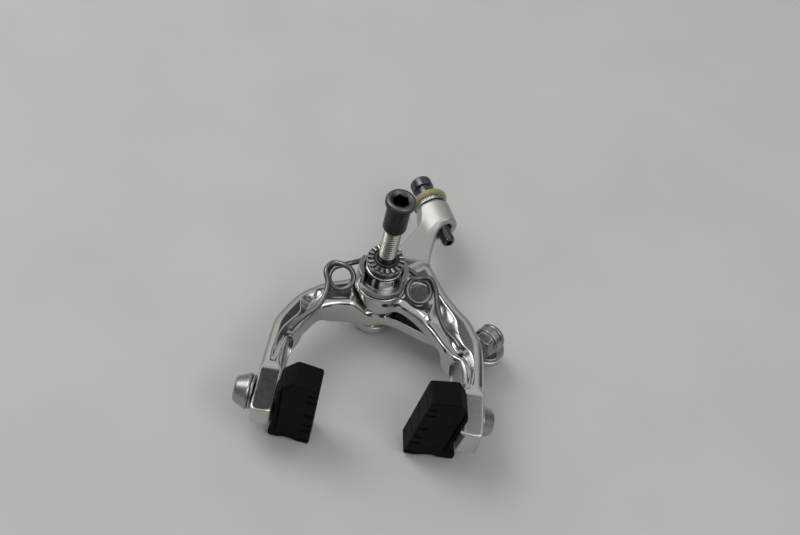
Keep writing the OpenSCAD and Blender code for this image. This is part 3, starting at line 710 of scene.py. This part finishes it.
# thread roots darkened as painted shade; the thread is also darker towards its foot next to the washer
root = sstep(2.78, 2.5, np.hypot(v[:, 0], v[:, 1])) * (v[:, 2] > -4.6) * (v[:, 2] < 22.3)
foot = sstep(2.8, 1.6, v[:, 2]) * (v[:, 2] > -4.6)
mesh_obj("pivot_bolt_threaded", v, f, "bolt", "pivot_bolt", BOLT, sharp=60, attrs={"painted_darkening": np.maximum(root * 0.85, foot)})


def block_f(x, y, z):
    fl = smax(cyl(x, y, 8.7), np.abs(z + 10.9) - 1.1, 0.3)
    wall = 6.75 - 0.5 * np.clip((z + 9.8) / 5.4, 0, 1) ** 2
    c = smax(cyl(x, y, 0) - wall, np.abs(z + 8.2) - 3.8, 0.35)
    ears = smax(smax(cyl(x, y, 8.7), np.abs(y) - 4.5, 0.3), np.abs(z + 8.5) - 3.5, 0.35)
    ears = smax(ears, -(np.abs(x) - 6.3), 0.2)
    b = np.minimum(np.minimum(fl, c), ears)
    # groove for the wire, turned down past each ear
    g = smax(smax(-(y - 3.65), np.abs(z + 7.4) - 1.1, 0.2), np.abs(x) - 6.6, 0.2)
    ax_ = np.abs(x)
    ca, sa = math.cos(math.radians(28)), math.sin(math.radians(28))
    u, w = (ax_ - 6.2) * ca - (y - 4.7) * sa, (ax_ - 6.2) * sa + (y - 4.7) * ca
    g2 = np.maximum(np.maximum(-1 - u, -1.05 - w), np.abs(z + 7.35) - 1.15)
    b = smax(b, -np.minimum(g, g2), 0.15)
    # shallow groove below the upper rim
    b = smax(b, -(np.maximum(np.abs(z + 5.2) - 0.25, -cyl(x, y, 5.9))), 0.1)
    return smax(b, -cyl(x, y, 3.55), 0.15)


HB = 0.18
v, f = nets(block_f, (-9.3, -9.3, -12.6), (9.3, 9.3, -3.8), HB)
r_ = np.hypot(v[:, 0], v[:, 1])
satin = (v[:, 2] < -9.75) | (r_ > 6.95)
th = np.degrees(np.arctan2(v[:, 1], v[:, 0]))


def band(a, b, soft=2.0):
    return sstep(a - soft, a + soft, th) * (1 - sstep(b - soft, b + soft, th))


# dark bands round the block's wall are painted reflections, with lighter strips left between them
painted_darkening = np.maximum.reduce([band(-166, -120), band(-113, -97), band(-52, -38), band(-20, 30), band(150, 175)])
painted_darkening = painted_darkening * (v[:, 2] > -9.6) * (v[:, 2] < -5.3) * (r_ < 6.9)
# the thin groove below the upper rim is darkened too: painted shade
painted_darkening = np.maximum(painted_darkening, ((np.abs(v[:, 2] + 5.2) < 0.3) & (r_ < 6.35)) * 1.0)
mesh_obj("spring_block_turned", v, f, "bolt", "spring_block", BLOCK, attrs={"satin": satin * 1.0, "painted_darkening": painted_darkening})


def tooth_f(x, y, z):
    r = np.sqrt(x * x + y * y)
    a = np.arctan2(y, x)
    disc = smax(r - 6.6, np.abs(z + 1.3) - 0.4, 0.2)
    neck = smax(r - 5.3, np.abs(z + 2.8) - 1.5, 0.2)
    collar = smax(r - 3.8, np.abs(z + 0.45) - 0.45, 0.15)
    k = 18
    aa = (a / (2 * math.pi) * k + 0.5) % 1.0 - 0.5
    across = np.abs(aa) * 2 * math.pi / k * r
    tz = -0.04 - 0.3 * np.clip(across / 0.62, 0, 1) ** 2
    teeth = np.maximum(np.maximum(across - 0.62, z - tz), np.maximum(-0.95 - z, np.maximum(r - 6.45, 4.5 - r)))
    s = np.minimum(np.minimum(disc, neck), np.minimum(collar, teeth))
    return smax(s, -(r - 3.05), 0.1)


v, f = nets(tooth_f, (-7.1, -7.1, -4.8), (7.1, 7.1, 0.5), 0.15)
r_ = np.hypot(v[:, 0], v[:, 1])
edge = ((r_ > 6.3) & (v[:, 2] < -0.85) & (v[:, 2] > -1.75)) | ((r_ > 4.55) & (v[:, 2] > -0.35))
mesh_obj("crown_washer_teeth", v, f, "bolt", "crown_washer", TOOTH, attrs={"edge": edge * 1.0})


def sleeve_f(x, y, z):
    r = np.sqrt(x * x + y * y)
    R = 4.0 - 0.6 * np.clip((16.5 - z) / 1.0, 0, 1)
    shank = smax(r - R, np.abs(z - 21.5) - 6.0, 0.25)
    head = smax(r - 5.1, np.abs(z - 28.45) - 1.45, 1.3)
    s = smin(shank, head, 0.5)
    s = smax(s, -np.maximum(r - 3.05, z - 23.3), 0.15)
    hx = hexa(x, y, 2.5, 12.0)
    s = smax(s, -np.maximum(hx, 23.9 - z), 0.12)
    return smax(s, -np.maximum(r - (3.0 + 1.1 * (z - 29.3)), 29.0 - z), 0.15)


v, f = nets(sleeve_f, (-5.6, -5.6, 15.0), (5.6, 5.6, 30.4), 0.15)
# the head's rim is painted lighter towards the top: a painted highlight
edge = np.clip((v[:, 2] - 28.6) / 0.8, 0, 1) * (np.hypot(v[:, 0], v[:, 1]) > 2.6)
mesh_obj("sleeve_nut_socket", v, f, "bolt", "sleeve_nut", SLEEVE, attrs={"edge": edge * 0.7})


def adjnut_f(x, y, z):
    h = smax(smax(hexa(x, y, 5.5), np.abs(z + 30.2) - 1.6, 0.3), cyl(x, y, 6.1), 0.3)
    w = smax(cyl(x, y, 6.7), np.abs(z + 28.3) - 0.4, 0.2)
    return smax(np.minimum(h, w), -cyl(x, y, 3.05), 0.1)


v, f = nets(adjnut_f, (-7.2, -7.2, -32.3), (7.2, 7.2, -27.4), 0.2)
mesh_obj("adjust_nut_hexagon", v, f, "bolt", "adjust_nut", CHROME)


def capnut_f(x, y, z):
    R = 6.7 - 1.9 * np.clip((-34.6 - z) / 1.6, 0, 1) ** 1.4
    c = smax(cyl(x, y, 0) - R, np.abs(z + 34.02) - 2.17, 0.5)
    c = smax(c, -np.maximum(hexa(x, y, 2.0), z + 35.3), 0.1)
    return smax(c, -np.maximum(cyl(x, y, 3.0), -(z + 35.0)), 0.1)


v, f = nets(capnut_f, (-7.2, -7.2, -36.8), (7.2, 7.2, -31.3), 0.2)
mesh_obj("cap_nut_domed", v, f, "bolt", "cap_nut", CHROME)

# ------------------------------------------------------------------- spring
WIRE = 0.93
COIL = 4.2


def spring_path(side):
    ct, st = math.cos(math.radians(32)), math.sin(math.radians(32))
    n_ = np.array([0, -st, ct])
    u_ = np.array([0, ct, st])
    c = np.array([13.2, -4.6, -9.0]) if side > 0 else np.array([14.0, -4.3, -9.0])
    leg = ([(16.4, -0.2, -6.9), (18, -2.4, -7.2), (19.2, -5.2, -8.2), (20.2, -10, -9.8), (22.1, -14.4, -11.4), (24.2, -17.8, -12.2), (27.2, -20.7, -12.3), (29.2, -23.8, -12.3)]
           if side > 0 else
           [(17.2, -0.2, -6.8), (19, -2, -7), (19.5, -4.2, -7.4), (18.3, -7.8, -8.6), (18.7, -12, -10.2), (20.5, -16.2, -11.6), (24, -19.7, -12.6), (27, -23.5, -13.5), (28.4, -26, -13.8)])
    turns = [c + COIL * (math.cos(a) * np.array([1, 0, 0]) + math.sin(a) * u_) + n_ * (2.3 * ((90 - math.degrees(a)) / 360 - 0.5)) for a in [math.radians(75 - 30 * i) for i in range(12)]]
    pts = [(0, 4.7, -7.4), (3, 4.7, -7.4), (6, 4.7, -7.4), (8.5, 3.1, -7.6)] + [tuple(t) for t in turns] + leg
    return [(side * p[0], p[1], p[2]) for p in pts]


def sweep(path, r, seg=16, steps=5):
    p = smooth_loop(path, steps, closed=False)
    n = len(p)
    t = np.gradient(p, axis=0)
    t /= np.linalg.norm(t, axis=1)[:, None]
    nrm = np.array([0, 0, 1.0])
    verts, faces = [], []
    for i in range(n):
        nrm = nrm - t[i] * (nrm @ t[i])
        nrm /= np.linalg.norm(nrm)
        b = np.cross(t[i], nrm)
        for k in range(seg):
            a = 2 * math.pi * k / seg
            verts.append(p[i] + r * (math.cos(a) * nrm + math.sin(a) * b))
    for i in range(n - 1):
        for k in range(seg):
            k2 = (k + 1) % seg
            faces.append((i * seg + k, i * seg + k2, (i + 1) * seg + k2, (i + 1) * seg + k))
    # cut end, with a small bevel
    base = len(verts)
    for k in range(seg):
        q = verts[(n - 1) * seg + k]
        verts.append(p[-1] + (q - p[-1]) * 0.8 + t[-1] * 0.12)
    for k in range(seg):
        k2 = (k + 1) % seg
        faces.append(((n - 1) * seg + k, (n - 1) * seg + k2, base + k2, base + k))
    faces.append(tuple(base + k for k in range(seg)))
    faces.append(tuple(range(seg))[::-1])
    return np.array(verts), faces


for side, arm, start, end, nm in ((1, "rear_arm_body", (18.5, -4.0, -8.0), (29.2, -23.8, -12.3), "spring_right"),
                                  (-1, "front_arm_body", (-18.8, -4.0, -7.5), (-28.4, -26.0, -13.8), "spring_left")):
    v, f = sweep(spring_path(side), WIRE)
    ob = mesh_obj(nm, v, f, None, None, SPRING, sharp=60)
    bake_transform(ob)
    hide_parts("return_spring")

# -------------------------------------------------------------------- shoes
HT = 1.6
PZ1 = Z_FLOOR - Z_STUD
PZ2 = PZ1 + 33.0


def flip_faces(f, side):
    if side < 0:
        return f
    if isinstance(f, np.ndarray):
        return f[:, ::-1]
    return [tuple(q)[::-1] for q in f]


def make_rubber(t, drop, foot):
    side = Outline([(0.25, PZ1 + 5.2), (0.1 - foot * 0.5, PZ1 + 4.6), (0.25 - foot, PZ1 + 3.6), (-0.15 - foot, PZ1 + 2.6), (-0.15 - foot, PZ1 + 1.6), (0.25 - foot, PZ1 + 0.75), (1.0 - foot, PZ1 + 0.5), (2.6, PZ1 + 0.6), (4.8, PZ1 + 1.4), (7, PZ1 + 1.05),
                    (9.4, PZ1 + 0.2), (HT + t - 0.7, PZ1 + 0.02), (HT + t - 0.15, PZ1 + 0.2), (HT + t, PZ1 + 0.8),
                    (HT + t, PZ2 - 2.1), (HT + t - 0.25, PZ2 - 1.6), (HT + t - 0.9, PZ2 - 1.3), (HT + 4.4, PZ2 - 0.2), (HT + 3.4, PZ2 - 0.15), (HT + 2.7, PZ2 - 0.6),
                    (HT, PZ2 - 4.0), (HT, PZ1 + 5.2)], steps=1, pad=3.0, h=0.1)
    yc = -drop
    face = HT + t

    def f(x, y, z):
        d = smax(side(x, z), np.abs(y - yc) - 4.75, 0.9)
        for g, sh in ((5.9, -2.4), (14.3, 2.4), (22.7, -2.4), (29.6, 2.0)):
            zg = PZ2 - g + sh * (y - yc) / 9.5
            d = smax(d, -np.maximum(np.abs(z - zg) - 0.36, face - 3.3 - x), 0.12)
            nick = np.maximum(np.maximum(np.abs(z - (PZ2 - g - 2.3)) - 0.55, face - 3.4 - x), y - yc + 4.75 - 0.6)
            d = smax(d, -nick, 0.15)
        return d
    return f


def build_shoe(side, t, drop, slide, foot, tleg, rn, tag, body):
    rf = make_rubber(t, drop, foot)
    hh = 0.25
    v, f = nets(rf, (-0.9 - foot, -drop - 5.6, PZ1 - 0.7), (HT + t + 0.8, -drop + 5.6, PZ2 + 0.8), hh)
    wear = np.clip((v[:, 0] - HT - t + 0.5) / 0.4, 0, 1)
    # moulding nib at the rear end
    nib, nf = lathe(round_profile([(0, -0.6), (0.42, -0.6), (0.34, 0.55), (0, 0.6)], 0.1), 16)
    nib = nib + np.array([HT + 6.6, -drop - 2.0, PZ2 - 1.1])
    n0 = len(v)
    v2 = np.concatenate([v, nib]) + np.array([0, 0, slide])
    f2 = [tuple(q) for q in f] + [tuple(i + n0 for i in q) for q in nf]
    mesh_obj("shoe_rubber_%s_moulded" % tag, from_shoe(v2, side), flip_faces(f2, side), body, "shoe_rubber_" + tag, RUBBER, attrs={"wear": np.concatenate([wear, np.zeros(len(nib))])})

    prof = Outline([(0.02, PZ1 + 7), (0.1, PZ1 + 5.9), (0.4, PZ1 + 5.35), (HT - 0.02, PZ1 + 5.3), (HT - 0.02, PZ2 - 4.1), (1.0, PZ2 - 5.6), (0.3, PZ2 - 6.6), (0.02, PZ2 - 7.6)], steps=1, pad=3.0, h=0.08)

    def hf(x, y, z):
        d = smax(prof(x, z - slide), np.abs(y + drop) - 5.1, 0.6)
        stud = smax(np.sqrt(y * y + z * z) - 3.0, np.abs(x + 4.45) - 4.5, 0.25)
        return np.minimum(d, stud)
    v, f = nets(hf, (-9.6, -drop - 5.8, PZ1 + 1.6), (HT + 0.6, max(-drop + 5.8, 3.6), PZ2 - 3.2), 0.25)
    mesh_obj("shoe_holder_%s_plate" % tag, from_shoe(v, side), flip_faces(f, side), body, "shoe_holder_" + tag, HOLDER, attrs={"wear": np.zeros(len(v))})

    # washer against the leg
    wp = round_profile([(3.05, tleg + 0.4), (3.05, tleg + 0.1), (rn - 0.25, tleg + 0.1), (rn - 0.25, tleg + 0.8), (3.05, tleg + 0.8), (3.05, tleg + 0.401)], 0.15)
    v, f = lathe(wp, 72)
    v = np.stack([-v[:, 2], v[:, 1], v[:, 0]], 1)
    mesh_obj("shoe_washer_%s_ring" % tag, from_shoe(v, side), flip_faces(f, side), body, "shoe_washer_" + tag, SATIN, sharp=50)

    def nutf(x, y, z):
        r = np.sqrt(y * y + z * z)
        s = -x - tleg - 0.9
        R = rn - (rn - 4.0) * np.clip((s - 1.0) / 4.3, 0, 1)
        n = smax(r - R, np.abs(s - 2.65) - 2.65, 0.9)
        n = smax(n, -np.maximum(r - 3.02, s - 3.2), 0.1)
        return smax(n, -np.maximum(hexa(y, z, 2.0), 2.6 - s), 0.12)
    v, f = nets(nutf, (-tleg - 6.9, -6.6, -6.6), (-tleg - 0.4, 6.6, 6.6), 0.2)
    mesh_obj("shoe_nut_%s_cone" % tag, from_shoe(v, side), flip_faces(f, side), body, "shoe_nut_" + tag, SATIN)


build_shoe(-1, 11.8, 0.0, 0.0, 0.6, T_LEFT, 6.0, "left", "front_arm_body")
build_shoe(1, 12.8, 1.4, SLIDE_RIGHT, 3.0, T_RIGHT, 5.6, "right", "rear_arm_body")

# --------------------------------------------------------- barrel adjuster
bt, bf = thread(2.05, 2.5, 1.0, 0.25, 22.2, 60, 0.5, 8)
bt_in, bf_in = lathe([(1.2, 0.25), (1.2, 24.0)], 48)
ring0, rf0 = lathe([(2.05, 0.25), (1.75, 0.0), (1.2, 0.0), (1.2, 0.25)], 60)
# the thread's flat ends would close the bore, so they are left out
bf = bf[:-2]
head = round_profile([(2.0, 22.2), (3.4, 22.25), (3.42, 22.6), (4.1, 22.65), (4.1, 25.2), (3.0, 25.5), (3.0, 26.7), (4.1, 27.0), (4.1, 30.45), (3.6, 31.0), (2.62, 31.0), (2.6, 24.0), (1.2, 24.0)], 0.22)
hv, hf_ = lathe(head, 96)
# fine knurl on both flanges of the head
rad = np.hypot(hv[:, 0], hv[:, 1])
ang = np.arctan2(hv[:, 1], hv[:, 0])
kn = np.where(rad > 3.95, 1 - 0.018 * (0.5 + 0.5 * np.cos(ang * 48)), 1.0)
hv[:, 0] *= kn
hv[:, 1] *= kn
v, f = join_parts([(bt, bf), (bt_in, [q[::-1] for q in bf_in]), (ring0, [q[::-1] for q in rf0]), (hv, hf_)])
mesh_obj("adjuster_barrel_threaded", place(v, ADJ_P, ADJ_A), f, "barrel", "adjuster_barrel", BARREL, sharp=50)

rp = round_profile([(2.55, 19.0), (2.55, 16.45), (4.8, 16.45), (4.8, 17.6), (5.9, 17.62), (5.9, 19.4), (4.25, 19.42), (4.25, 21.9), (2.55, 21.9), (2.55, 19.001)], 0.22)
v, f = lathe(rp, 144)
rad = np.hypot(v[:, 0], v[:, 1])
ang = np.arctan2(v[:, 1], v[:, 0])
kn = np.where(rad > 5.6, 1 - 0.02 * (0.5 + 0.5 * np.cos(ang * 72)), 1.0)
v[:, 0] *= kn
v[:, 1] *= kn
mesh_obj("adjuster_nut_ring", place(v, ADJ_P, ADJ_A), f, "barrel_nut", "adjuster_nut", DARKNUT, sharp=50)

pts = [(5.6 + 1.3 * math.cos(2 * math.pi * k / 24), 20.75 + 1.3 * math.sin(2 * math.pi * k / 24)) for k in range(24)]
v, f = lathe(pts, 120, loop=True)
mesh_obj("adjuster_o_ring_torus", place(v, ADJ_P, ADJ_A), f, "barrel_nut", "adjuster_o_ring", ORING, attrs={"wear": np.clip(np.sin(3 * np.arctan2(v[:, 1], v[:, 0])), 0, 1)})


# -------------------------------------------------------------- cable anchor
def anchor_f(x, y, z):
    lx, ly, lz = unplace(x, y, z, (ANCH[0], ANCH[1], ANCH_Z), ANCH_A)
    qx, qy = x - ANCH[0], y - ANCH[1]
    foot = smax(cyl(qx, qy, 6.1), np.abs(z + 26.8) - 0.75, 0.4)
    pin = smax(cyl(qx, qy, 2.5), np.abs(z + 28.75) - 1.75, 0.2)
    peen = smax(cyl(qx, qy, 3.7) + 0.35 * (z + 30.55) ** 2, np.abs(z + 30.55) - 0.45, 0.4)
    R = 4.9 - 1.0 * np.clip((lz - 1.2) / 1.4, 0, 1) ** 1.5
    head = smax(cyl(lx, ly, 0) - R, np.abs(lz - 1.5) - 1.1, 0.7)
    web = smax(smax(np.abs(lx) - 3.0, np.abs(lz - 1.4) - 1.0, 0.5), np.maximum(ly - 5.6, -ly), 0.3)
    a = smin(smin(foot, head, 0.5), web, 0.9)
    stud = smax(cyl(lx, ly, 2.3), np.abs(lz + 2.5) - 3.9, 0.3)
    a = np.minimum(np.minimum(a, stud), pin)
    return np.minimum(a, peen)


HC = 0.17
v, f = nets(anchor_f, (34.9, -17.3, -31.5), (48.6, -3.9, -15.4), HC)
mesh_obj("anchor_body_swivel", v, f, "anchor", "anchor_body", ZINC)


def anchor_washer_f(x, y, z):
    lx, ly, lz = unplace(x, y, z, (ANCH[0], ANCH[1], ANCH_Z), ANCH_A)
    w = smax(cyl(lx, ly, 4.95), np.abs(lz + 1.15) - 1.45, 0.35)
    w = smax(w, -(np.sqrt((ly + 3.2) ** 2 + (lz - 0.3) ** 2) - 0.65), 0.2)
    return smax(w, -cyl(lx, ly, 2.35), 0.1)


v, f = nets(anchor_washer_f, (34.0, -18.5, -26.6), (48.0, -5.0, -15.4), HC)
mesh_obj("anchor_washer_grooved", v, f, "anchor", "anchor_washer", SATIN)


def anchor_nut_f(x, y, z):
    lx, ly, lz = unplace(x, y, z, (ANCH[0], ANCH[1], ANCH_Z), ANCH_A)
    ap = 4.9 * math.cos(math.radians(30))
    h = smax(hexa(lx, ly, ap, 30.0), np.abs(lz + 5.0) - 1.8, 0.25)
    h = smax(h, cyl(lx, ly, 0) - (4.88 - 0.8 * np.clip((-5.7 - lz) / 1.1, 0, 1) ** 1.5), 0.25)
    fl = smax(cyl(lx, ly, 4.8), np.abs(lz + 3.15) - 0.45, 0.2)
    return smax(np.minimum(h, fl), -cyl(lx, ly, 2.35), 0.1)


v, f = nets(anchor_nut_f, (31.6, -21.4, -26.4), (45.6, -7.0, -15.6), HC)
mesh_obj("anchor_nut_faceted", v, f, "anchor", "anchor_clamp_nut", DARKNUT)

# ------------------------------------------------------------------- studio
floor_me = bpy.data.meshes.new("floor")
floor_me.from_pydata([(-3, -3, Z_FLOOR * MM - 0.00005), (3, -3, Z_FLOOR * MM - 0.00005), (3, 3, Z_FLOOR * MM - 0.00005), (-3, 3, Z_FLOOR * MM - 0.00005)], [], [(0, 1, 2, 3)])
floor = bpy.data.objects.new("floor", floor_me)
bpy.context.scene.collection.objects.link(floor)
fm, fnt, fb, ftc = new_mat("floor_pale")
fcol = ramp(fnt, noise(fnt, ftc, 18, 4.0, 0.5), [(0.3, (0.50, 0.502, 0.50)), (0.7, (0.535, 0.535, 0.53))])
fnt.links.new(fcol, fb.inputs["Base Color"])
fb.inputs["Roughness"].default_value = 0.75
fb.inputs["Specular IOR Level"].default_value = 0.2
floor_me.materials.append(fm)

cam_d = bpy.data.cameras.new("camera")
cam_d.sensor_width = 36.0
cam_d.lens = 36.0 * 1180.0 / 800.0
cam_d.clip_start = 0.01
cam_d.clip_end = 20
cam = bpy.data.objects.new("camera", cam_d)
rgt = Vector((0.983, 0.0687, 0.1702))
upv = Vector((-0.1617, 0.7627, 0.6262))
rgt.normalize()
upv = (upv - rgt * upv.dot(rgt)).normalized()
back = rgt.cross(upv)
T = Vector((0, 0, -15.0)) * MM
C = T + back * (414.04 * MM) - rgt * (-7.15 * MM) - upv * (-6.12 * MM)
cam.matrix_world = Matrix(((rgt.x, upv.x, back.x, C.x), (rgt.y, upv.y, back.y, C.y), (rgt.z, upv.z, back.z, C.z), (0, 0, 0, 1)))
bpy.context.scene.collection.objects.link(cam)
bpy.context.scene.camera = cam
bpy.context.scene.view_settings.view_transform = "Standard"
bpy.context.scene.view_settings.look = "None"

world = bpy.data.worlds.new("studio")
bpy.context.scene.world = world
world.use_nodes = True
wn = world.node_tree
for n in list(wn.nodes):
    wn.nodes.remove(n)
wo = wn.nodes.new("ShaderNodeOutputWorld")
bg = wn.nodes.new("ShaderNodeBackground")
wn.links.new(bg.outputs[0], wo.inputs[0])
wtc = wn.nodes.new("ShaderNodeTexCoord")
sep = wn.nodes.new("ShaderNodeSeparateXYZ")
wn.links.new(wtc.outputs["Generated"], sep.inputs[0])


def spot(direction, cos_in, cos_out, stretch=(1, 1, 1)):
    """1 near a direction, 0 away from it, with a soft edge."""
    vm = wn.nodes.new("ShaderNodeVectorMath")
    vm.operation = "MULTIPLY"
    vm.inputs[1].default_value = stretch
    wn.links.new(wtc.outputs["Generated"], vm.inputs[0])
    nm = wn.nodes.new("ShaderNodeVectorMath")
    nm.operation = "NORMALIZE"
    wn.links.new(vm.outputs[0], nm.inputs[0])
    d = Vector(direction)
    d = Vector((d.x * stretch[0], d.y * stretch[1], d.z * stretch[2])).normalized()
    dt = wn.nodes.new("ShaderNodeVectorMath")
    dt.operation = "DOT_PRODUCT"
    dt.inputs[1].default_value = d
    wn.links.new(nm.outputs[0], dt.inputs[0])
    mr = wn.nodes.new("ShaderNodeMapRange")
    mr.interpolation_type = "SMOOTHSTEP"
    mr.inputs["From Min"].default_value = cos_out
    mr.inputs["From Max"].default_value = cos_in
    wn.links.new(dt.outputs["Value"], mr.inputs["Value"])
    return mr.outputs["Result"]


sky = ramp(wn, math_node(wn, "MULTIPLY_ADD", sep.outputs[2], 0.5, 0.5), [(0.0, (0.06, 0.06, 0.06)), (0.5, (0.15, 0.15, 0.148)), (0.62, (0.36, 0.36, 0.355)), (0.8, (0.55, 0.553, 0.55)), (1.0, (0.63, 0.635, 0.64))])
col = sky
# dark part of the room above and beyond, that the flat leg ends mirror
col = mixc(wn, spot((0.02, 0.587, 0.809), 0.9915, 0.980), col, (0.008, 0.014, 0.017))
# dim side walls
col = mixc(wn, spot((-1, -0.1, 0.15), 0.93, 0.80), col, (0.10, 0.10, 0.105))
col = mixc(wn, spot((1, 0.3, 0.1), 0.94, 0.84), col, (0.06, 0.063, 0.07))
col = mixc(wn, spot((0.0, -1, 0.25), 0.95, 0.86), col, (0.025, 0.03, 0.035))
# windows
col = mixc(wn, spot((-0.75, 0.3, 0.6), 0.97, 0.95), col, (1.35, 1.36, 1.36))
col = mixc(wn, spot((0.55, -0.45, 0.75), 0.975, 0.955), col, (1.3, 1.28, 1.2))
wn.links.new(col, bg.inputs["Color"])
bg.inputs["Strength"].default_value = 1.0


def area(name, loc, target, size, power, color=(1, 1, 1)):
    d = bpy.data.lights.new(name, "AREA")
    d.shape = "RECTANGLE"
    d.size, d.size_y = size
    d.energy = power
    d.color = color
    o = bpy.data.objects.new(name, d)
    o.location = loc
    v = Vector(target) - Vector(loc)
    o.rotation_euler = v.to_track_quat("-Z", "Y").to_euler()
    bpy.context.scene.collection.objects.link(o)
    return o


area("key", (-0.55, 0.25, 0.85), (0, 0, -0.02), (0.5, 0.5), 3.6, (1.0, 0.985, 0.955))
area("fill", (0.5, -0.5, 0.9), (0, 0, -0.02), (0.7, 0.4), 1.6, (0.97, 0.985, 1.0))
